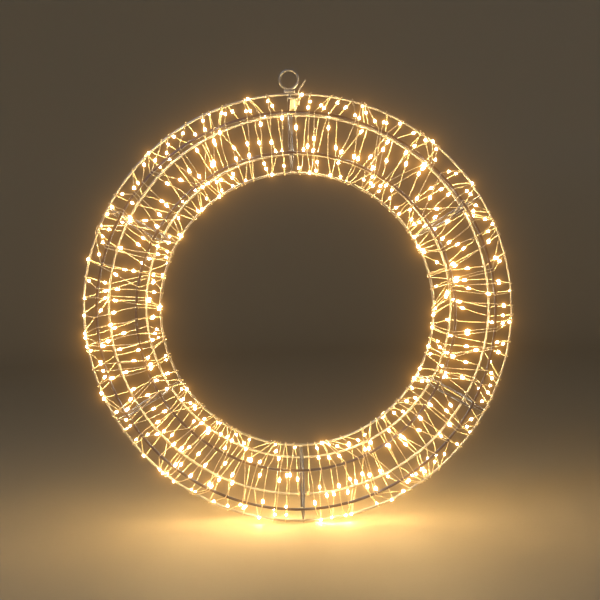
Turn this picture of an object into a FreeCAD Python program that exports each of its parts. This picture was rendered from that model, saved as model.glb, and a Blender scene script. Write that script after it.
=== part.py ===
"""A lit wreath frame: a welded wire torus with a hanging eye, wound with two strings of drop LEDs.

Six round wire rings lie at the corners of a hexagonal section and are held there by six bent
hexagonal braces, spot-welded inside them. Each string starts in a splice at the top, winds round
the section down its own half of the wreath, and is anchored on the back outer ring at the bottom.

Frame: millimetres, origin at the centre of the hanging eye, +Z up, -Y towards the viewer.
Azimuth is the angle round the wreath's axis, from +X towards +Z, so the eye is at 90 degrees.
"""

import FreeCAD, Part

import math
import os
import random

from FreeCAD import Placement, Rotation, Vector

# Driving sizes of the welded frame.
OVERALL_DIAMETER = 400.0  # over the outermost ring's wire
RING_WIRE = 1.25  # radius of the ring wire
BRACE_WIRE = 1.0  # radius of the brace wire
SECTION = 36.0  # from the section's centre to each ring's centreline
BRACE_BEND = 4.0  # centreline radius of the braces' corners
EYE_OUTSIDE = 19.4  # diameter over the hanging eye
EYE_WIRE = 1.15  # radius of the eye's wire
EYE_GAP = 2.1  # between the eye and the outermost ring, filled by the weld
SPOT_WELD = 1.6  # radius of the metal squeezed out at a crossing
EYE_WELD_RADIUS = 1.7
EYE_WELD_LENGTH = 7.5  # of the bead's straight part

# Driving sizes of the light strings.
CABLE = 0.5  # radius of the strings' twin wire
CABLE_BEND = 1.6  # centreline radius where the wire turns round a ring
TURNS = 48  # of each string, round the section
TURN_PITCH = 3.7  # degrees of azimuth from one turn to the next
JITTER = 3.0  # degrees that a corner strays by hand winding
SWAY = 1.6  # degrees that neighbouring corners stray together
GATHER = 2.2  # degrees that turns are drawn together on the innermost ring
GATHERED = 3  # turns drawn together
CLOSEST = 2.5  # between two turns on one ring
CALM_TURNS = 4  # at each end of a string, over which the straying dies away
ANCHOR_REACH = 2.75  # ring centre to the corners of the tight turns that end a string
ANCHOR_QUARTERS = 11
ANCHOR_STEP = 0.085  # degrees of azimuth for each quarter of a tight turn
ANCHOR_END = 7.0  # length of the wire's last straight run
SEAL_RADIUS = 0.75
SEAL_LENGTH = 5.0
SEAL_DEPTH = 4.0  # of the wire in its end seal
LED_PITCH = 46.6  # along the wire
LED_STRAY = 11.0  # by which one spacing may be longer or shorter
FIRST_LED = 30.0  # from the splice to the first drop
LEDS = 240  # on each string
LED_GROUP = 80  # drops in one node
CORNER_CLEAR = 4.6  # from a corner to the middle of the nearest drop
DROP_LENGTH = 5.0
DROP_WAIST = 1.8  # length of its widest part
DROP_SHOULDER = 3.9  # length between its shoulders
DROP_RADIUS = 1.0
SHOULDER_RADIUS = 0.8
CHIP_LENGTH = 1.2
CHIP_WIDTH = 0.6
CHIP_TOP = 0.85  # from the wire's axis to the chip's outer face

# Driving sizes of the splice between the lead and the strings, and of its tie.
SLEEVE_RADIUS = 3.0
SLEEVE_WALL = 0.45
SLEEVE_LENGTH = 22.5
SLEEVE_TAPER = 3.0
SLEEVE_END_RADIUS = 2.75
BLOCK_RADIUS = 2.5
BLOCK_LENGTH = 20.0
SOCKET_RADIUS = 1.4  # the blind hole that takes the lead
SOCKET_DEPTH = 6.0
TIE_WIDTH = 2.5
TIE_THICKNESS = 0.9
TIE_SLACK = 0.05
TIE_HEAD = Vector(2.6, 4.2, 4.0)  # out from the band, along the band, along the splice
TAIL_RISE = 8.0
TAIL_CURL = 6.0  # radius of the tail's bend
TAIL_LEAN = 32.0  # degrees that the tail bends
TAIL_FREE = 11.0  # length of tail past the bend

# Worked out from the driving sizes.
TUBE_RADIUS = OVERALL_DIAMETER / 2 - RING_WIRE - SECTION
EYE_RADIUS = EYE_OUTSIDE / 2 - EYE_WIRE
CENTRE_Z = -(OVERALL_DIAMETER / 2 + EYE_GAP + EYE_OUTSIDE / 2)
FACE_HEIGHT = SECTION * math.cos(math.radians(30))  # section centre to the plane of two rings
BRACE_APEX = SECTION - RING_WIRE - BRACE_WIRE
BRACE_CORNER = BRACE_APEX + BRACE_BEND * (1 / math.cos(math.radians(30)) - 1)
BRACE_SIDE = BRACE_CORNER * math.cos(math.radians(30))
WRAP_REACH = 2.17  # ring centre to the corner of the wire; leaves about 0.1 between wire and ring

# Ring 0 is the outermost; they go forward and round the section from there.
RINGS = ["ring_outermost", "ring_front_outer", "ring_front_inner",
         "ring_innermost", "ring_back_inner", "ring_back_outer"]
BRACES = {"top": 90, "upper_right": 30, "lower_right": -30,
          "bottom": -90, "lower_left": -150, "upper_left": 150}


def section_point(azimuth, radial, depth):
    """The point at that azimuth, that far outward of the section's centre and that far back."""
    turn = math.radians(azimuth)
    reach = TUBE_RADIUS + radial
    return Vector(reach * math.cos(turn), depth, CENTRE_Z + reach * math.sin(turn))


def around_ring(ring, azimuth, angle=0.0, reach=WRAP_REACH):
    """A point beside a ring's centreline; angle turns round that ring the way the strings wind."""
    own = math.radians(60 * ring)
    turned = math.radians(60 * ring + angle)
    return section_point(azimuth,
                         SECTION * math.cos(own) + reach * math.cos(turned),
                         -SECTION * math.sin(own) - reach * math.sin(turned))


def rounded_path(points, bend, closed=False):
    """Straight runs between the points, joined by tangent arcs of radius bend."""
    if closed:
        triples = list(zip(points[-1:] + points[:-1], points, points[1:] + points[:1]))
    else:
        triples = list(zip(points, points[1:], points[2:]))
    arcs = []
    for before, corner, after in triples:
        into = (corner - before).normalize()
        out = (after - corner).normalize()
        half = into.getAngle(out) / 2
        cut = bend * math.tan(half)
        middle = corner + (out - into).normalize() * (bend / math.cos(half) - bend)
        arcs.append((corner - into * cut, middle, corner + out * cut))
    starts = [arcs[-1][2]] if closed else [points[0]]
    edges = []
    for start, middle, end in arcs:
        edges.append(Part.LineSegment(starts[-1], start).toShape())
        edges.append(Part.Arc(start, middle, end).toShape())
        starts.append(end)
    if not closed:
        edges.append(Part.LineSegment(starts[-1], points[-1]).toShape())
    return Part.Wire(edges)


def swept(path, radius):
    """A round wire along the path, whose volume must be its section times its length."""
    first = path.Edges[0]
    start = first.Vertexes[0].Point
    ring = Part.makeCircle(radius, start, first.tangentAt(first.FirstParameter))
    solid = path.makePipeShell([Part.Wire(ring)], True, False)
    expected = math.pi * radius ** 2 * path.Length
    if not solid.isValid() or abs(solid.Volume / expected - 1) > 0.002:
        raise ValueError("a sweep came out wrong: %.1f, not %.1f" % (solid.Volume, expected))
    return solid


def make_ring(ring):
    """One closed ring wire."""
    across = SECTION * math.cos(math.radians(60 * ring))
    depth = -SECTION * math.sin(math.radians(60 * ring))
    return Part.makeTorus(TUBE_RADIUS + across, RING_WIRE, Vector(0, depth, CENTRE_Z),
                          Vector(0, 1, 0))


def make_top_brace():
    """One closed hexagonal brace with rounded corners."""
    corners = []
    for ring in range(6):
        turn = math.radians(60 * ring)
        corners.append(section_point(90, BRACE_CORNER * math.cos(turn),
                                     -BRACE_CORNER * math.sin(turn)))
    return swept(rounded_path(corners, BRACE_BEND, closed=True), BRACE_WIRE)


def make_top_spot_welds(brace, rings):
    """The metal squeezed out round the six crossings of one brace with the rings."""
    beads = []
    for ring, ring_solid in enumerate(rings):
        touch = around_ring(ring, 90, 180, RING_WIRE)
        bead = Part.makeSphere(SPOT_WELD, touch)
        beads.append(bead.cut(ring_solid).cut(brace))
    return Part.makeCompound([solid for bead in beads for solid in bead.Solids])


def turned_to(azimuth, shape):
    """A copy of a shape made at the top, turned about the wreath's axis to its own azimuth."""
    copy = shape.copy()
    copy.rotate(Vector(0, 0, CENTRE_Z), Vector(0, 1, 0), 90 - azimuth)
    return copy


def make_eye():
    """The closed hanging eye, which stands in the wreath's plane."""
    return Part.makeTorus(EYE_RADIUS, EYE_WIRE, Vector(0, 0, 0), Vector(0, 1, 0))


def make_eye_weld(eye, outermost):
    """The bead that holds the eye on the outermost ring."""
    middle = Vector(0, 0, -(EYE_OUTSIDE + EYE_GAP) / 2)
    end = Vector(EYE_WELD_LENGTH / 2, 0, 0)
    bead = Part.makeCylinder(EYE_WELD_RADIUS, EYE_WELD_LENGTH, middle - end, Vector(1, 0, 0))
    for tip in (middle - end, middle + end):
        bead = bead.fuse(Part.makeSphere(EYE_WELD_RADIUS, tip))
    bead = bead.removeSplitter().cut(outermost).cut(eye)
    return Part.makeCompound([s for s in bead.Solids if s.Volume > 0.5])


# The splice lies beside the top brace, just inside the plane of rings 0 and 1. It is built in
# that face's own frame: x runs along the rings, y out from the section's centre and z from
# ring 0 to ring 1.
SPLICE_X = 3.6
SPLICE_Y = 26.9
SPLICE_START = -13.5
SPLICE_END = SPLICE_START + SLEEVE_LENGTH
TIE_Z = -9.5
RIGHT_OFFSET = 1.0  # of the right string's hole from the splice's axis, along x
LEFT_OFFSET = -1.8  # of the left string's hole, along y
SOCKET_OFFSET = 0.8  # of the lead's socket, along y
ALONG = Vector(0, 0, 1)
FACE_FRAME = Placement(Vector(0, 0, CENTRE_Z + TUBE_RADIUS), Rotation(Vector(1, 0, 0), 120))


def on_face(shape):
    """A shape built in the face's frame, moved to its place on the wreath."""
    shape.Placement = FACE_FRAME.multiply(shape.Placement)
    return shape


def make_sleeve():
    """The shrunk tube over the splice, with drawn-in ends."""
    inside = SLEEVE_RADIUS - SLEEVE_WALL
    outline = [(inside, 0), (SLEEVE_END_RADIUS, 0), (SLEEVE_RADIUS, SLEEVE_TAPER),
               (SLEEVE_RADIUS, SLEEVE_LENGTH - SLEEVE_TAPER),
               (SLEEVE_END_RADIUS, SLEEVE_LENGTH), (inside, SLEEVE_LENGTH), (inside, 0)]
    face = Part.Face(Part.makePolygon([Vector(r, 0, z) for r, z in outline]))
    tube = face.revolve(Vector(0, 0, 0), ALONG, 360)
    tube.translate(Vector(SPLICE_X, SPLICE_Y, SPLICE_START))
    return on_face(tube)


def make_block():
    """The moulded joint in the sleeve, bored for both strings and for the lead."""
    start = SPLICE_START + (SLEEVE_LENGTH - BLOCK_LENGTH) / 2
    end = start + BLOCK_LENGTH
    block = Part.makeCylinder(BLOCK_RADIUS, BLOCK_LENGTH, Vector(SPLICE_X, SPLICE_Y, start), ALONG)
    for radius, x, y, z in ((CABLE, RIGHT_OFFSET, 0, start),
                            (CABLE, 0, LEFT_OFFSET, end - SOCKET_DEPTH),
                            (SOCKET_RADIUS, 0, SOCKET_OFFSET, end - SOCKET_DEPTH)):
        mouth = Vector(SPLICE_X + x, SPLICE_Y + y, z)
        block = block.cut(Part.makeCylinder(radius, SOCKET_DEPTH, mouth, ALONG))
    return on_face(block)


def hull_of_two(first, first_radius, second, second_radius):
    """The closed outline round two circles that lie side by side across the splice."""
    gap = math.hypot(second[0] - first[0], second[1] - first[1])
    line = math.atan2(second[1] - first[1], second[0] - first[0])
    lean = math.acos((first_radius - second_radius) / gap)

    def at(centre, radius, angle):
        return Vector(centre[0] + radius * math.cos(angle),
                      centre[1] + radius * math.sin(angle), TIE_Z - TIE_WIDTH / 2)

    low, high = line - lean, line + lean
    return Part.Wire([
        Part.Arc(at(first, first_radius, high), at(first, first_radius, line + math.pi),
                 at(first, first_radius, low)).toShape(),
        Part.LineSegment(at(first, first_radius, low), at(second, second_radius, low)).toShape(),
        Part.Arc(at(second, second_radius, low), at(second, second_radius, line),
                 at(second, second_radius, high)).toShape(),
        Part.LineSegment(at(second, second_radius, high),
                         at(first, first_radius, high)).toShape()])


def make_tie():
    """The cable tie round the top brace and the splice, with its head and untrimmed tail."""
    brace, splice = (0, BRACE_SIDE), (SPLICE_X, SPLICE_Y)
    inner_radius = SLEEVE_RADIUS + TIE_SLACK
    outer = Part.Face(hull_of_two(brace, BRACE_WIRE + TIE_SLACK + TIE_THICKNESS,
                                  splice, inner_radius + TIE_THICKNESS))
    inner = Part.Face(hull_of_two(brace, BRACE_WIRE + TIE_SLACK, splice, inner_radius))
    band = outer.extrude(ALONG * TIE_WIDTH).cut(inner.extrude(ALONG * TIE_WIDTH))

    head = Part.makeBox(TIE_HEAD.x, TIE_HEAD.y, TIE_HEAD.z,
                        Vector(SPLICE_X + inner_radius + TIE_THICKNESS / 2,
                               SPLICE_Y - TIE_HEAD.y / 2, TIE_Z - TIE_HEAD.z / 2))
    head = head.makeFillet(0.5, head.Edges)

    # The tail leaves the head outward and curls away to the right.
    foot = Vector(SPLICE_X + inner_radius + TIE_HEAD.x / 2 + TIE_THICKNESS,
                  SPLICE_Y + TIE_HEAD.y / 2 - 1.0, TIE_Z)

    def curled(angle):
        return foot + Vector(TAIL_CURL * (1 - math.cos(angle)),
                             TAIL_RISE + TAIL_CURL * math.sin(angle), 0)

    lean = math.radians(TAIL_LEAN)
    heading = Vector(math.sin(lean), math.cos(lean), 0)
    path = Part.Wire([Part.LineSegment(foot, curled(0)).toShape(),
                      Part.Arc(curled(0), curled(lean / 2), curled(lean)).toShape(),
                      Part.LineSegment(curled(lean), curled(lean) + heading * TAIL_FREE).toShape()])
    across, through = ALONG * (TIE_WIDTH / 2), Vector(TIE_THICKNESS / 2, 0, 0)
    profile = Part.makePolygon([foot - across - through, foot + across - through,
                                foot + across + through, foot - across + through,
                                foot - across - through])
    tail = path.makePipeShell([profile], True, False)
    return on_face(band.fuse([head, tail]).removeSplitter())


# Which way each string goes round the wreath, where it starts and on which ring.
STRINGS = {
    "right": {"way": -1, "start": 88.6, "past_tie": 2.3, "first_ring": 0, "seed": 11},
    "left": {"way": 1, "start": 91.2, "past_tie": 0.0, "first_ring": 1, "seed": 23},
}


def corner_azimuths(string):
    """The azimuth of every corner, as {(turn, ring): degrees}, with the turns never crossing."""
    stray = random.Random(string["seed"])
    azimuths = {}
    for ring in range(6):
        radius = TUBE_RADIUS + SECTION * math.cos(math.radians(60 * ring))
        closest = math.degrees(CLOSEST / radius)
        reached = (string["past_tie"] if ring == 0 else 0) - closest
        for turn in range(TURNS):
            even = TURN_PITCH * (turn + ring / 6)
            along = math.radians(even)
            sway = SWAY * (math.sin(9 * along + 2.4 * ring) + math.sin(14 * along + 4.1 * ring))
            if ring == 3:
                sway += GATHER * math.sin(math.tau * turn / GATHERED)
            sway += (2 * stray.random() - 1) * JITTER
            loose = min(turn, TURNS - 1 - turn, CALM_TURNS) / CALM_TURNS
            reached = max(even + loose * sway, reached + closest)
            azimuths[turn, ring] = string["start"] + string["way"] * reached
    return azimuths


def string_corners(name):
    """The corners of one string's wire, from inside the splice to its anchor."""
    string = STRINGS[name]
    azimuths = corner_azimuths(string)
    first = string["first_ring"]
    entry = azimuths[0, first]
    # Out of the splice.
    if name == "right":
        x, y = SPLICE_X + RIGHT_OFFSET, SPLICE_Y
        leaving = [Vector(x, y, SPLICE_START + SOCKET_DEPTH), Vector(x, y, SPLICE_START - 0.5)]
    else:
        x, y = SPLICE_X, SPLICE_Y + LEFT_OFFSET
        leaving = [Vector(x, y, SPLICE_END - SOCKET_DEPTH), Vector(x, y, SPLICE_END + 1.5),
                   Vector(-3.5, SPLICE_Y - 1.0, SPLICE_END + 3.0)]
    corners = [FACE_FRAME.multVec(point) for point in leaving]
    # From inside the section round the first ring.
    corners += [around_ring(first, entry, -107, 3.05),
                around_ring(first, entry, -28, 2.6),
                around_ring(first, entry, 35, 2.6)]
    for turn in range(TURNS):
        for ring in range(6):
            if (turn, ring) > (0, first) and (turn, ring) < (TURNS - 1, 5):
                corners.append(around_ring(ring, azimuths[turn, ring]))
    # The anchor: tight turns side by side on the back outer ring, and a short end tucked inside.
    last = azimuths[TURNS - 1, 5]
    for quarter in range(ANCHOR_QUARTERS):
        step = string["way"] * ANCHOR_STEP * quarter
        corners.append(around_ring(5, last + step, 90 * quarter - 45, ANCHOR_REACH))
    before, end = corners[-2:]
    corners[-1] = before + (end - before).normalize() * ANCHOR_END
    return corners


def make_end_seal(corners):
    """The resin cap over the end of a string's wire."""
    before, end = corners[-2:]
    inward = (end - before).normalize()
    cap = Part.makeCylinder(SEAL_RADIUS, SEAL_LENGTH, end - inward * SEAL_DEPTH, inward)
    return cap.cut(Part.makeCylinder(CABLE, SEAL_DEPTH, end - inward * SEAL_DEPTH, inward))


def led_places(corners, seed):
    """Where the drops sit: on the straight runs, as near to their spacing as the corners allow."""
    stray = random.Random(seed)
    places, walked, due = [], 0.0, FIRST_LED
    for start, end in zip(corners, corners[1:]):
        run = end - start
        room = run.Length > 3 * CORNER_CLEAR
        while room and due <= walked + run.Length and len(places) < LEDS:
            along = min(max(due - walked, CORNER_CLEAR), run.Length - CORNER_CLEAR)
            places.append((start + run * (along / run.Length), run))
            due += LED_PITCH + (2 * stray.random() - 1) * LED_STRAY
        walked += run.Length
    return places


def drop_and_chip():
    """One resin drop and the chip in it, with the wire's axis along Z."""
    upper = [(CABLE, DROP_LENGTH / 2), (SHOULDER_RADIUS, DROP_SHOULDER / 2),
             (DROP_RADIUS, DROP_WAIST / 2)]
    lower = [(radius, -height) for radius, height in reversed(upper)]
    outline = [Vector(radius, 0, height) for radius, height in upper + lower + upper[:1]]
    drop = Part.Face(Part.makePolygon(outline)).revolve(Vector(0, 0, 0), Vector(0, 0, 1), 360)
    chip = Part.makeBox(CHIP_TOP, CHIP_WIDTH, CHIP_LENGTH,
                        Vector(0, -CHIP_WIDTH / 2, -CHIP_LENGTH / 2))
    wire = Part.makeCylinder(CABLE, CHIP_LENGTH, Vector(0, 0, -CHIP_LENGTH / 2))
    chip = chip.cut(wire)
    return drop.cut(chip), chip


def placed(shape, places, seed):
    """A copy of the shape at each place, turned by chance about the wire."""
    spin = random.Random(seed)
    copies = []
    for point, along in places:
        copy = shape.copy()
        turned = Rotation(Vector(0, 0, 1), along) * Rotation(Vector(0, 0, 1), 360 * spin.random())
        copy.Placement = Placement(point, turned)
        copies.append(copy)
    return Part.makeCompound(copies)


def main():
    parts = {}
    rings = [make_ring(ring) for ring in range(6)]
    parts.update(zip(RINGS, rings))
    brace = make_top_brace()
    welds = make_top_spot_welds(brace, rings)
    for place, azimuth in BRACES.items():
        parts["brace_" + place] = turned_to(azimuth, brace)
        parts["spot_welds_" + place] = turned_to(azimuth, welds)
    parts["hanging_eye"] = make_eye()
    parts["eye_weld"] = make_eye_weld(parts["hanging_eye"], rings[0])
    parts["splice_sleeve"] = make_sleeve()
    parts["splice_block"] = make_block()
    parts["cable_tie"] = make_tie()

    seals = []
    drop, chip = drop_and_chip()
    for name, string in STRINGS.items():
        corners = string_corners(name)
        path = rounded_path(corners, CABLE_BEND)
        parts["led_wire_" + name] = swept(path, CABLE)
        seals.append(make_end_seal(corners))
        places = led_places(corners, string["seed"])
        print(name, "string: %.2f m, %d drops" % (path.Length / 1000, len(places)))
        for group in range(LEDS // LED_GROUP):
            some = places[group * LED_GROUP:(group + 1) * LED_GROUP]
            seed = string["seed"] + group
            parts["led_drops_%s_%d" % (name, group + 1)] = placed(drop, some, seed)
            parts["led_chips_%s_%d" % (name, group + 1)] = placed(chip, some, seed)

    parts["string_end_seals"] = Part.makeCompound(seals)

    os.makedirs("parts", exist_ok=True)
    for name, shape in parts.items():
        bad = [solid for solid in shape.Solids if not solid.isValid()]
        print("%-24s %4d solids %9.1f mm3%s"
              % (name, len(shape.Solids), shape.Volume, " INVALID" if bad else ""))
        shape.exportStep("parts/%s.step" % name)


main()
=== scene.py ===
"""The looks of the lit wreath frame: plated wire, twin light wire and glowing resin drops.

Metres, in the frame of the CAD model: origin at the centre of the hanging eye, +Z up, -Y towards
the viewer. The wreath stands on a pale floor and is lit by its own lights and a soft studio. The
strings' route is worked out in millimetres.
"""

import math
import random

import bpy
from mathutils import Matrix, Vector
from mathutils.kdtree import KDTree


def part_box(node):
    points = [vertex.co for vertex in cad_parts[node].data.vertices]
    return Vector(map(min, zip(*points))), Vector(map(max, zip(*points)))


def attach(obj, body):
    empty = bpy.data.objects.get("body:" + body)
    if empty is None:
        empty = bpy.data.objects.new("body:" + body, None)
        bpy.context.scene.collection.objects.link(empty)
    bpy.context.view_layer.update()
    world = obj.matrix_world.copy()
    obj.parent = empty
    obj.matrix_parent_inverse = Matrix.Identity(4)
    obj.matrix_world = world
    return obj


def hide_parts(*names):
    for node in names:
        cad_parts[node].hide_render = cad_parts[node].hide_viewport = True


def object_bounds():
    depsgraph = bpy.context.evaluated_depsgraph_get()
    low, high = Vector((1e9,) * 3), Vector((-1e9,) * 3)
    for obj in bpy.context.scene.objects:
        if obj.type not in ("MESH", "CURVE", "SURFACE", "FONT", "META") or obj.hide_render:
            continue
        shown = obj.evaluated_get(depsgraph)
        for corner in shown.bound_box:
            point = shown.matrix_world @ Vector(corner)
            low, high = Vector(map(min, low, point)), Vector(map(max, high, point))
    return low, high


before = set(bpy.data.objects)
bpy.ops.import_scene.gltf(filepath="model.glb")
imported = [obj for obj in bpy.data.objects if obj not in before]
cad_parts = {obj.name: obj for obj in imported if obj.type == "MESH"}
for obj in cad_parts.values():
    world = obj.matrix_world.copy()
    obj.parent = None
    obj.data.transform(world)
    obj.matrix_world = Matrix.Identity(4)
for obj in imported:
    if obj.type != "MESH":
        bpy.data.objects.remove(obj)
cad_low, cad_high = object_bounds()

# The wreath's middle and the floor under it, from the frame.
RING_LOW, RING_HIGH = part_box("ring_outermost")
CENTRE = (RING_LOW + RING_HIGH) / 2
FLOOR_Z = cad_low.z

# The camera stands a little to the right of the wreath and above its middle, and is held with a
# slight roll. Its place is from the wreath's centre.
CAMERA_FROM_CENTRE = Vector((0.0533, -1.2533, 0.1168))
CAMERA_YAW = -2.11  # degrees, as the two below
CAMERA_PITCH = -4.98
CAMERA_ROLL = 1.9
CAMERA_LENS = 81.43  # millimetres, as the sensor's width
SENSOR_WIDTH = 36.0
NEAREST_SEEN = 0.05


def make_camera():
    """The camera, its roll applied last."""
    data = bpy.data.cameras.new("camera")
    data.lens = CAMERA_LENS
    data.sensor_width = SENSOR_WIDTH
    data.clip_start = NEAREST_SEEN
    camera = bpy.data.objects.new("camera", data)
    bpy.context.scene.collection.objects.link(camera)
    roll = Matrix.Rotation(math.radians(CAMERA_ROLL), 4, "Y")
    turn = (Matrix.Rotation(math.radians(-CAMERA_YAW), 4, "Z")
            @ Matrix.Rotation(math.radians(90 + CAMERA_PITCH), 4, "X"))
    camera.matrix_world = Matrix.Translation(CENTRE + CAMERA_FROM_CENTRE) @ roll @ turn
    bpy.context.scene.camera = camera


# Materials. Patterns are given as features to a metre, relief in metres.
MOTTLE_ENDS = (0.3, 0.7)  # of a pattern's value, for the darkest and the lightest colour
FINE = 2.0  # detail of a fine grain, which is too small to need more
GRAIN_DEPTH = 0.0002
STEEL_PATCHES, STEEL_GRAIN = 90.0, 900.0
ENAMEL_PATCHES = 60.0
RESIN_GRAIN = 800.0
PLASTIC_GRAIN = 700.0
PLASTIC_UNEVEN = 0.2  # share by which a plastic's roughness varies
PAINTED_GLOW_COLOUR = (1.0, 0.74, 0.34, 1.0)  # colour of a glow painted into plastic beside the drops, standing for their light scattered in it
RESIN = (1.0, 0.85, 0.55, 1.0)


def new_material(name):
    """A node material with a plain Principled shader: (material, nodes, links, shader)."""
    material = bpy.data.materials.new(name)
    material.use_nodes = True
    nodes, links = material.node_tree.nodes, material.node_tree.links
    return material, nodes, links, nodes["Principled BSDF"]


def noise(nodes, links, scale, detail=4.0):
    """A noise pattern that stays with the piece."""
    where = nodes.new("ShaderNodeTexCoord").outputs["Object"]
    texture = nodes.new("ShaderNodeTexNoise")
    texture.inputs["Scale"].default_value = scale
    texture.inputs["Detail"].default_value = detail
    links.new(where, texture.inputs["Vector"])
    return texture.outputs["Fac"]


def mottled(nodes, links, patches, dark, light):
    """A colour that wanders between dark and light with the value of patches."""
    node = nodes.new("ShaderNodeValToRGB")
    for element, place, colour in zip(node.color_ramp.elements, MOTTLE_ENDS, (dark, light)):
        element.position = place
        element.color = (*colour, 1.0)
    links.new(patches, node.inputs["Fac"])
    return node.outputs["Color"]


def spread(nodes, links, value, low, high):
    """The value, from 0..1, spread over low..high."""
    node = nodes.new("ShaderNodeMapRange")
    node.inputs["To Min"].default_value = low
    node.inputs["To Max"].default_value = high
    links.new(value, node.inputs["Value"])
    return node.outputs["Result"]


def bump(nodes, links, shader, height, strength, depth=GRAIN_DEPTH):
    """Small relief on the shader's surface."""
    node = nodes.new("ShaderNodeBump")
    node.inputs["Strength"].default_value = strength
    node.inputs["Distance"].default_value = depth
    links.new(height, node.inputs["Height"])
    links.new(node.outputs["Normal"], shader.inputs["Normal"])


def plated_steel(name, base, dark, rough, metallic):
    """Zinc-plated wire, mottled from dark to base, with fine grain; rough is (least, most)."""
    material, nodes, links, shader = new_material(name)
    patches = noise(nodes, links, STEEL_PATCHES)
    grain = noise(nodes, links, STEEL_GRAIN, FINE)
    links.new(mottled(nodes, links, patches, dark, base), shader.inputs["Base Color"])
    shader.inputs["Metallic"].default_value = metallic
    links.new(spread(nodes, links, grain, *rough), shader.inputs["Roughness"])
    bump(nodes, links, shader, grain, 0.08)
    return material


def light_wire():
    """Enamelled wire: champagne-coloured, and only partly metallic under its enamel."""
    material, nodes, links, shader = new_material("light_wire")
    patches = noise(nodes, links, ENAMEL_PATCHES)
    links.new(mottled(nodes, links, patches, (0.90, 0.76, 0.50), (1.0, 0.93, 0.76)),
              shader.inputs["Base Color"])
    shader.inputs["Metallic"].default_value = 0.35
    shader.inputs["Roughness"].default_value = 0.36
    return material


def glowing(name, colour, strength):
    """Resin lit from within, its skin a little uneven."""
    material, nodes, links, shader = new_material(name)
    shader.inputs["Base Color"].default_value = RESIN
    shader.inputs["Emission Color"].default_value = (*colour, 1.0)
    shader.inputs["Emission Strength"].default_value = strength
    skin = noise(nodes, links, RESIN_GRAIN, FINE)
    links.new(spread(nodes, links, skin, 0.05, 0.16), shader.inputs["Roughness"])
    bump(nodes, links, shader, skin, 0.15)
    return material


def plastic(name, colour, rough, transmission=0.0, painted_glow=0.0):
    """Moulded plastic; its last argument is the strength of a glow painted into it, standing for
    the light of the drops beside it scattered through it.
    """
    material, nodes, links, shader = new_material(name)
    shader.inputs["Base Color"].default_value = (*colour, 1.0)
    shader.inputs["Transmission Weight"].default_value = transmission
    shader.inputs["Emission Color"].default_value = PAINTED_GLOW_COLOUR
    shader.inputs["Emission Strength"].default_value = painted_glow
    grain = noise(nodes, links, PLASTIC_GRAIN, FINE)
    uneven = (rough * (1 - PLASTIC_UNEVEN), rough * (1 + PLASTIC_UNEVEN))
    links.new(spread(nodes, links, grain, *uneven), shader.inputs["Roughness"])
    bump(nodes, links, shader, grain, 0.1)
    return material


def paint(node, material):
    """The material in every slot of a CAD node."""
    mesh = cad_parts[node].data
    if not mesh.materials:
        mesh.materials.append(material)
    for index in range(len(mesh.materials)):
        mesh.materials[index] = material


# Painted shade: the front rings and the braces are the same plated wire as the other rings, painted
# darker and bluer for their side that the drops don't light.
SHADED_STEEL = plated_steel("plated_steel", (0.05, 0.09, 0.19), (0.03, 0.05, 0.11), (0.28, 0.42), 0.6)
DULL_STEEL = plated_steel("dull_steel", (0.50, 0.51, 0.52), (0.36, 0.37, 0.39), (0.28, 0.42), 0.7)
WELD = plated_steel("weld_metal", (0.58, 0.60, 0.62), (0.38, 0.39, 0.41), (0.35, 0.6), 0.8)
WIRE = light_wire()
GLOW = glowing("lit_resin", (1.0, 0.66, 0.27), 140.0)
TIP = glowing("resin_tip", (1.0, 0.62, 0.24), 8.0)
CHIP = plastic("phosphor_chip", (0.9, 0.7, 0.15), 0.4)
# The splice sleeve has a faint painted glow, for the drops' light scattered through it.
SLEEVE = plastic("milky_sleeve", (1.0, 0.86, 0.56), 0.3, 0.2, 0.5)
CLEAR = plastic("clear_seal", (1.0, 0.92, 0.72), 0.25, 0.45)
BLOCK = plastic("splice_plastic", (0.95, 0.90, 0.78), 0.5)
NYLON = plastic("natural_nylon", (0.88, 0.85, 0.76), 0.35, 0.3)

# A node takes the last material whose start of a name fits it. The strings' wire and drops are
# replaced further on, by pieces with materials of their own.
BY_NAME = [
    ("ring_", DULL_STEEL), ("ring_front_", SHADED_STEEL), ("brace_", SHADED_STEEL), ("hanging_eye", DULL_STEEL),
    ("spot_welds_", WELD), ("eye_weld", WELD), ("led_chips_", CHIP), ("string_end_seals", CLEAR),
    ("splice_sleeve", SLEEVE), ("splice_block", BLOCK), ("cable_tie", NYLON),
]
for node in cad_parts:
    for start, material in BY_NAME:
        if node.startswith(start):
            paint(node, material)


# The light strings: their route is the CAD model's, repeated here in millimetres and degrees.
MM = 0.001
OVERALL_DIAMETER = 400.0  # over the outermost ring's wire
RING_WIRE = 1.25  # radius of the ring wire
SECTION = 36.0  # from the section's centre to each ring's centreline
CENTRE_Z = -211.8  # of the wreath, below the hanging eye
TUBE_RADIUS = OVERALL_DIAMETER / 2 - RING_WIRE - SECTION
TURNS = 48  # of each string, round the section
TURN_PITCH = 3.7  # of azimuth, from one turn to the next
JITTER = 3.0  # by which a corner strays by hand winding
SWAY = 1.6  # by which neighbouring corners stray together
SWAY_WAVES = [(9, 2.4), (14, 4.1)]  # waves to a circle, and radians of shift from ring to ring
GATHER = 2.2  # by which turns are drawn together on the innermost ring
GATHERED = 3  # turns drawn together
INNERMOST = 3  # the rings are 0 to 5, from the outermost, first over the front
CLOSEST = 2.5  # between two turns on one ring
CALM_TURNS = 4  # at each end of a string, over which the straying dies away
WRAP_REACH = 2.17  # from a ring's centre to the corner of the wire
ENTRY = [(-107, 3.05), (-28, 2.6), (35, 2.6)]  # angle and reach, round the first ring
ANCHOR_REACH = 2.75  # the same, in the tight turns that end a string
ANCHOR_QUARTERS = 11
ANCHOR_STEP = 0.085  # of azimuth, for each quarter of a tight turn
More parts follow.
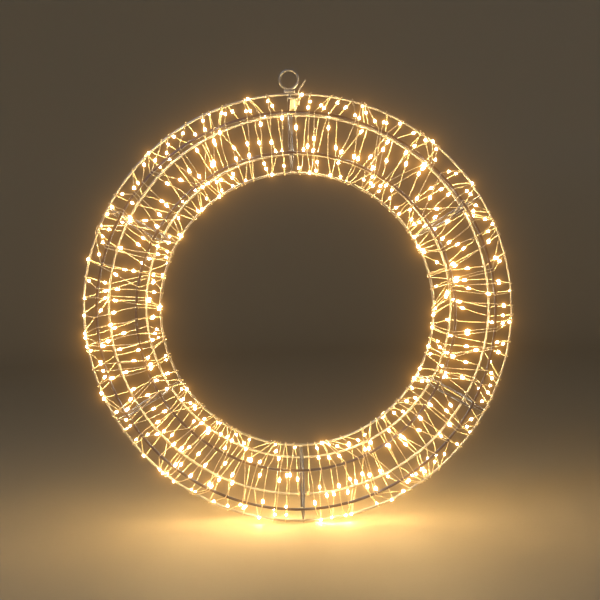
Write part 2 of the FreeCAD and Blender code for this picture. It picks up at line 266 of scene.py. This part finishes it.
ANCHOR_END = 7.0  # length of the wire's last straight run
LED_PITCH = 46.6  # along the wire
LED_STRAY = 11.0  # by which one spacing may be longer or shorter
FIRST_LED = 30.0  # from the splice to the first drop
LEDS = 240  # on each string
LED_GROUP = 80  # drops in one CAD node
CORNER_CLEAR = 4.6  # from a corner to the middle of the nearest drop
SLEEVE_LENGTH = 22.5
SOCKET_DEPTH = 6.0
SPLICE_X, SPLICE_Y = 3.6, 26.9  # the splice's axis, in the frame of the face that it lies on
SPLICE_START = -13.5
SPLICE_END = SPLICE_START + SLEEVE_LENGTH
RIGHT_OFFSET, LEFT_OFFSET = 1.0, -1.8  # of each string's wire from the splice's axis
FACE_FRAME = (Matrix.Translation((0, 0, CENTRE_Z + TUBE_RADIUS))
              @ Matrix.Rotation(math.radians(120), 4, "X"))
STRINGS = {
    "right": {"way": -1, "start": 88.6, "past_tie": 2.3, "first_ring": 0, "seed": 11},
    "left": {"way": 1, "start": 91.2, "past_tie": 0.0, "first_ring": 1, "seed": 23},
}


def around_ring(ring, azimuth, angle=0.0, reach=WRAP_REACH):
    """A point beside a ring's centreline; angle turns round that ring the way the strings wind."""
    own, turned = math.radians(60 * ring), math.radians(60 * ring + angle)
    out = TUBE_RADIUS + SECTION * math.cos(own) + reach * math.cos(turned)
    back = -SECTION * math.sin(own) - reach * math.sin(turned)
    turn = math.radians(azimuth)
    return Vector((out * math.cos(turn), back, CENTRE_Z + out * math.sin(turn)))


def corner_azimuths(string):
    """The azimuth of every corner, as {(turn, ring): degrees}, with the turns never crossing."""
    stray = random.Random(string["seed"])
    azimuths = {}
    for ring in range(6):
        radius = TUBE_RADIUS + SECTION * math.cos(math.radians(60 * ring))
        closest = math.degrees(CLOSEST / radius)
        reached = (string["past_tie"] if ring == 0 else 0) - closest
        for turn in range(TURNS):
            even = TURN_PITCH * (turn + ring / 6)
            along = math.radians(even)
            sway = SWAY * sum(math.sin(waves * along + shift * ring) for waves, shift in SWAY_WAVES)
            if ring == INNERMOST:
                sway += GATHER * math.sin(math.tau * turn / GATHERED)
            sway += (2 * stray.random() - 1) * JITTER
            loose = min(turn, TURNS - 1 - turn, CALM_TURNS) / CALM_TURNS
            reached = max(even + loose * sway, reached + closest)
            azimuths[turn, ring] = string["start"] + string["way"] * reached
    return azimuths


def leaving_points(name):
    """Where one string's wire leaves the splice; the left one bends over to its own side."""
    if name == "right":
        x, y = SPLICE_X + RIGHT_OFFSET, SPLICE_Y
        points = [(x, y, SPLICE_START + SOCKET_DEPTH), (x, y, SPLICE_START - 0.5)]
    else:
        x, y = SPLICE_X, SPLICE_Y + LEFT_OFFSET
        points = [(x, y, SPLICE_END - SOCKET_DEPTH), (x, y, SPLICE_END + 1.5),
                  (-3.5, SPLICE_Y - 1.0, SPLICE_END + 3.0)]
    return [FACE_FRAME @ Vector(point) for point in points]


def string_corners(name):
    """The corners of one string's wire, from inside the splice to its anchor."""
    string = STRINGS[name]
    azimuths = corner_azimuths(string)
    first = string["first_ring"]
    corners = leaving_points(name)
    for angle, reach in ENTRY:
        corners.append(around_ring(first, azimuths[0, first], angle, reach))
    for turn in range(TURNS):
        for ring in range(6):
            if (turn, ring) > (0, first) and (turn, ring) < (TURNS - 1, 5):
                corners.append(around_ring(ring, azimuths[turn, ring]))
    last = azimuths[TURNS - 1, 5]
    for quarter in range(ANCHOR_QUARTERS):
        step = string["way"] * ANCHOR_STEP * quarter
        corners.append(around_ring(5, last + step, 90 * quarter - 45, ANCHOR_REACH))
    before, end = corners[-2:]
    corners[-1] = before + (end - before).normalized() * ANCHOR_END
    return corners


def led_places(corners, seed):
    """Where the drops sit: (corner before it, distance along the run, place, direction)."""
    stray = random.Random(seed)
    places, walked, due = [], 0.0, FIRST_LED
    for index, (start, end) in enumerate(zip(corners, corners[1:])):
        run = end - start
        room = run.length > 3 * CORNER_CLEAR
        while room and due <= walked + run.length and len(places) < LEDS:
            along = min(max(due - walked, CORNER_CLEAR), run.length - CORNER_CLEAR)
            places.append((index, along, start + run * (along / run.length), run.normalized()))
            due += LED_PITCH + (2 * stray.random() - 1) * LED_STRAY
        walked += run.length
    return places


# The look of the strings: two enamelled strands twisted together, parting round each drop.
STRAND_RADIUS = 0.26
STRAND_OFFSET = 0.24  # of each strand from the pair's middle
STRAND_SIDES = 6
TWIST = 6.5  # length of one full twist
PARTING = 0.12  # of the strands, by a drop
STEP = 1.2  # between cross-sections
HOLD = 2.2  # by a corner, where the wire is held tight to its ring
STRAIGHT = 3.0  # each side of a drop's middle
LONG_GAP = 11.0  # a gap long enough for the wire to bend in
SLACK = 1.5  # most that a bend stands off the straight line
BEND_FROM, BEND_SPREAD = 0.35, 0.3  # where in its gap a bend is, as shares of the gap
CURVE_ORDER = 3
CURVE_STEPS = 8  # between two control points
BEND_SEED = 100  # added to a string's seed, for the draws that place its bends
PIECES = 4  # pieces of mesh to one string's wire

# One resin drop: fuller at one end, drawn out at the other.
DROP_LENGTH = 5.0
LEAST_LENGTH, LENGTH_SPREAD = 0.92, 0.16  # as shares of the length
DROP_RADIUS = 1.0
DROP_SKEW = 0.85
DROP_FULLNESS = 0.6
DROP_SIDES = 14
DROP_ROWS = 12
ROW_SHARES = [(row + 0.5) / DROP_ROWS for row in range(DROP_ROWS)]
LIT_FROM, LIT_TO = 0.12, 0.72  # the stretch of the drop where the chip shines through


def route_points(corners, places, seed):
    """The spline's points: tight at the corners, straight at the drops, a little bent between."""
    stray = random.Random(seed + BEND_SEED)
    drops = {}
    for index, along, _, _ in places:
        drops.setdefault(index, []).append(along)
    points = [corners[0]]
    for index, (start, end) in enumerate(zip(corners, corners[1:])):
        run = end - start
        ahead = run.normalized()
        aside, up = ahead.orthogonal().normalized(), ahead.cross(ahead.orthogonal()).normalized()
        hold = min(HOLD, run.length / 3)
        fixed = [hold]
        for along in drops.get(index, []):
            fixed += [along - STRAIGHT, along, along + STRAIGHT]
        fixed.append(run.length - hold)
        fixed.sort()
        for here, there in zip(fixed, fixed[1:]):
            points.append(start + ahead * here)
            if there - here > LONG_GAP:
                turn, reach = math.tau * stray.random(), SLACK * stray.random()
                middle = here + (there - here) * (BEND_FROM + BEND_SPREAD * stray.random())
                points.append(start + ahead * middle
                              + (aside * math.cos(turn) + up * math.sin(turn)) * reach)
        points.append(start + ahead * fixed[-1])
        points.append(end)
    return points


def smooth_points(points):
    """Points along the smooth curve that the route controls."""
    curve = bpy.data.curves.new("route", "CURVE")
    curve.dimensions = "3D"
    spline = curve.splines.new("NURBS")
    spline.points.add(len(points) - 1)
    for target, point in zip(spline.points, points):
        target.co = (*point, 1.0)
    spline.order_u = CURVE_ORDER
    spline.use_endpoint_u = True
    spline.resolution_u = CURVE_STEPS
    holder = bpy.data.objects.new("route", curve)
    mesh = bpy.data.meshes.new_from_object(holder)
    read = [vertex.co.copy() for vertex in mesh.vertices]
    bpy.data.meshes.remove(mesh)
    bpy.data.objects.remove(holder)
    bpy.data.curves.remove(curve)
    return read


def evenly_spaced(points):
    """Points one step apart along the line through these, and its last point."""
    line, walked = [points[0]], 0.0
    for before, after in zip(points, points[1:]):
        gap = (after - before).length
        while walked + gap >= STEP:
            before = before.lerp(after, (STEP - walked) / gap)
            gap, walked = (after - before).length, 0.0
            line.append(before)
        walked += gap
    return line + [points[-1]]


def carried_normals(line):
    """At each point of a line: the point, and two directions across it, carried along untwisted."""
    normal = None
    for index, point in enumerate(line):
        ahead = line[min(index + 1, len(line) - 1)] - line[max(index - 1, 0)]
        ahead.normalize()
        if normal is None:
            normal = ahead.orthogonal().normalized()
        normal = (normal - ahead * normal.dot(ahead)).normalized()
        yield point, normal, ahead.cross(normal)


def twisted_strands(line, places):
    """Two lines of points, twisted about the wire's centreline and parted by the drops."""
    near_drop = KDTree(len(places))
    for index, (_, _, place, _) in enumerate(places):
        near_drop.insert(place, index)
    near_drop.balance()
    strands = [[], []]
    for index, (point, normal, across) in enumerate(carried_normals(line)):
        turn = math.tau * index * STEP / TWIST
        apart = near_drop.find(point)[2]
        parting = PARTING * max(0.0, 1 - abs(apart - STRAIGHT) / STRAIGHT)
        out = (normal * math.cos(turn) + across * math.sin(turn)) * (STRAND_OFFSET + parting)
        strands[0].append(point + out)
        strands[1].append(point - out)
    return strands


def new_piece(name, vertices, faces, materials, node):
    """A mesh piece, given in millimetres, that replaces a CAD node."""
    mesh = bpy.data.meshes.new(name)
    mesh.from_pydata([vertex * MM for vertex in vertices], [], faces)
    mesh.shade_smooth()
    for material in materials:
        mesh.materials.append(material)
    piece = bpy.data.objects.new(name, mesh)
    bpy.context.scene.collection.objects.link(piece)
    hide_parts(node)
    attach(piece, "root")
    return mesh


def round_strands(lines):
    """Vertices and faces of round strands along lines of points, with closed ends."""
    vertices, faces = [], []
    sides = range(STRAND_SIDES)
    for line in lines:
        first = len(vertices)
        for point, normal, across in carried_normals(line):
            for side in sides:
                turn = math.tau * side / STRAND_SIDES
                out = normal * math.cos(turn) + across * math.sin(turn)
                vertices.append(point + out * STRAND_RADIUS)
        last = len(vertices) - STRAND_SIDES
        for near in range(first, last, STRAND_SIDES):
            far = near + STRAND_SIDES
            for side in sides:
                right = (side + 1) % STRAND_SIDES
                faces.append((near + side, near + right, far + right, far + side))
        faces.append(tuple(first + side for side in reversed(sides)))
        faces.append(tuple(last + side for side in sides))
    return vertices, faces


def make_string_wire(name, corners, places):
    """The string's twisted pair, in a few pieces."""
    route = route_points(corners, places, STRINGS[name]["seed"])
    line = evenly_spaced(smooth_points(route))
    strands = twisted_strands(line, places)
    count = len(line)
    for part in range(PIECES):
        start, end = part * count // PIECES, (part + 1) * count // PIECES
        vertices, faces = round_strands([strand[start:end + 1] for strand in strands])
        new_piece("wire_%s_%d" % (name, part + 1), vertices, faces, [WIRE],
                  "led_wire_" + name)


def drop_radius(share):
    """The drop's radius at a share of its length."""
    return DROP_RADIUS * math.sin(math.pi * share ** DROP_SKEW) ** DROP_FULLNESS


def drop_vertices(place, along, stray):
    """One drop's vertices: a tip, its rows and the other tip. Its full end may point either way."""
    size = LEAST_LENGTH + LENGTH_SPREAD * stray.random()
    ahead = along * (size if stray.random() < 0.5 else -size)
    normal = along.orthogonal().normalized()
    across = along.cross(normal)
    start = place - ahead * (DROP_LENGTH / 2)
    vertices = [start]
    for share in ROW_SHARES:
        for side in range(DROP_SIDES):
            turn = math.tau * side / DROP_SIDES
            out = (normal * math.cos(turn) + across * math.sin(turn)) * drop_radius(share)
            vertices.append(start + ahead * (DROP_LENGTH * share) + out)
    vertices.append(start + ahead * DROP_LENGTH)
    return vertices


def drop_faces(first):
    """One drop's faces, from its first vertex on, and for each face 1 if the chip lights it."""
    faces, lit = [], []
    last = first + 1 + DROP_ROWS * DROP_SIDES
    for side in range(DROP_SIDES):
        right = (side + 1) % DROP_SIDES
        faces.append((first, first + 1 + right, first + 1 + side))
        lit.append(0)
        for row, (share, next_share) in enumerate(zip(ROW_SHARES, ROW_SHARES[1:])):
            near = first + 1 + row * DROP_SIDES
            far = near + DROP_SIDES
            faces.append((near + side, near + right, far + right, far + side))
            lit.append(int(LIT_FROM <= share and next_share <= LIT_TO))
        faces.append((last - DROP_SIDES + side, last - DROP_SIDES + right, last))
        lit.append(0)
    return faces, lit


def make_drops(name, group, places, seed):
    """One group of a string's drops, each lit in its middle."""
    stray = random.Random(seed)
    vertices, faces, lit = [], [], []
    for _, _, place, along in places:
        more_faces, more_lit = drop_faces(len(vertices))
        vertices += drop_vertices(place, along, stray)
        faces += more_faces
        lit += more_lit
    mesh = new_piece("drops_%s_%d" % (name, group), vertices, faces, [TIP, GLOW],
                     "led_drops_%s_%d" % (name, group))
    mesh.polygons.foreach_set("material_index", lit)


for name, string in STRINGS.items():
    corners = string_corners(name)
    places = led_places(corners, string["seed"])
    make_string_wire(name, corners, places)
    for group in range(LEDS // LED_GROUP):
        some = places[group * LED_GROUP:(group + 1) * LED_GROUP]
        make_drops(name, group + 1, some, string["seed"] + group)


# The studio. The wreath's own lights do most of the lighting.
STAGE_RADIUS = 1.75
STAGE_HEIGHT = 1.4
STAGE_BEND = 0.45
STAGE_SIDES = 96
BEND_STEPS = 12
STAGE_MIDDLE = 0.001  # radius of the small hole at the floor's centre
FLOOR_COLOUR = (0.46, 0.40, 0.30, 1.0)
FLOOR_ROUGH = (0.50, 0.62)
FLOOR_GRAIN = 260.0
FLOOR_DETAIL = 3.0
FLOOR_RELIEF = 0.0005
WORLD_COLOUR = (1.0, 0.80, 0.52, 1.0)
WORLD_STRENGTH = 0.06
LAMPS = {  # place from the wreath's centre, size across, power in watts, colour
    "key": ((-0.9, -1.2, 1.1), 0.6, 7.0, (0.74, 0.86, 1.0)),
    "fill": ((1.0, -0.8, 0.7), 0.8, 1.0, (0.80, 0.90, 1.0)),
}

# The bloom that bright points of light leave in a lens: a tight halo, then a wide haze.
BLOOM_FROM = 1.0  # brightness at which it begins
BLOOMS = [
    {"Size": 0.15, "Strength": 0.70, "Maximum": 14.0, "Tint": (1.0, 0.68, 0.26, 1.0)},
    {"Size": 0.70, "Strength": 0.20, "Maximum": 60.0, "Tint": (1.0, 0.60, 0.18, 1.0)},
]


def pale_floor():
    """A plain pale beige, with the faint grain of painted board."""
    material, nodes, links, shader = new_material("pale_floor")
    shader.inputs["Base Color"].default_value = FLOOR_COLOUR
    grain = noise(nodes, links, FLOOR_GRAIN, FLOOR_DETAIL)
    links.new(spread(nodes, links, grain, *FLOOR_ROUGH), shader.inputs["Roughness"])
    bump(nodes, links, shader, grain, 0.05, FLOOR_RELIEF)
    return material


def stage_profile():
    """The stage's half section as (radius, height): a floor, a bend and a low wall."""
    flat = STAGE_RADIUS - STAGE_BEND
    profile = [(STAGE_MIDDLE, 0.0), (flat, 0.0)]
    for step in range(1, BEND_STEPS + 1):
        turn = math.radians(90 * step / BEND_STEPS)
        profile.append((flat + STAGE_BEND * math.sin(turn), STAGE_BEND * (1 - math.cos(turn))))
    profile.append((STAGE_RADIUS, STAGE_HEIGHT))
    return profile


def make_stage():
    """A round floor that curves up into a low wall all round."""
    vertices, faces = [], []
    profile = stage_profile()
    for radius, height in profile:
        for side in range(STAGE_SIDES):
            turn = math.tau * side / STAGE_SIDES
            vertices.append((radius * math.cos(turn), radius * math.sin(turn), height + FLOOR_Z))
    for row in range(len(profile) - 1):
        near, far = row * STAGE_SIDES, (row + 1) * STAGE_SIDES
        for side in range(STAGE_SIDES):
            right = (side + 1) % STAGE_SIDES
            faces.append((near + side, near + right, far + right, far + side))
    mesh = bpy.data.meshes.new("floor")
    mesh.from_pydata(vertices, [], faces)
    mesh.shade_smooth()
    mesh.materials.append(pale_floor())
    floor = bpy.data.objects.new("floor", mesh)
    bpy.context.scene.collection.objects.link(floor)


def area_light(name, place, size, power, colour):
    """A soft light, aimed at the wreath's centre."""
    data = bpy.data.lights.new(name, "AREA")
    data.size = size
    data.energy = power
    data.color = colour
    lamp = bpy.data.objects.new(name, data)
    lamp.location = CENTRE + Vector(place)
    lamp.rotation_mode = "QUATERNION"
    lamp.rotation_quaternion = (-Vector(place)).to_track_quat("-Z", "Y")
    bpy.context.scene.collection.objects.link(lamp)


def make_world():
    """A dim warm light from all round."""
    world = bpy.data.worlds.new("studio")
    bpy.context.scene.world = world
    world.use_nodes = True
    background = world.node_tree.nodes["Background"]
    background.inputs["Color"].default_value = WORLD_COLOUR
    background.inputs["Strength"].default_value = WORLD_STRENGTH


def make_bloom():
    """The blooms, one after the other, over the rendered picture."""
    scene = bpy.context.scene
    scene.use_nodes = True
    tree = scene.node_tree
    tree.nodes.clear()
    picture = tree.nodes.new("CompositorNodeRLayers").outputs["Image"]
    for bloom in BLOOMS:
        glare = tree.nodes.new("CompositorNodeGlare")
        glare.glare_type = "BLOOM"
        glare.quality = "HIGH"
        glare.inputs["Threshold"].default_value = BLOOM_FROM
        glare.inputs["Clamp"].default_value = True
        for socket, value in bloom.items():
            glare.inputs[socket].default_value = value
        tree.links.new(picture, glare.inputs["Image"])
        picture = glare.outputs["Image"]
    output = tree.nodes.new("CompositorNodeComposite")
    tree.links.new(picture, output.inputs["Image"])


make_camera()
make_stage()
make_world()
for lamp_name, lamp_values in LAMPS.items():
    area_light(lamp_name, *lamp_values)
bpy.context.scene.view_settings.view_transform = "Standard"
make_bloom()
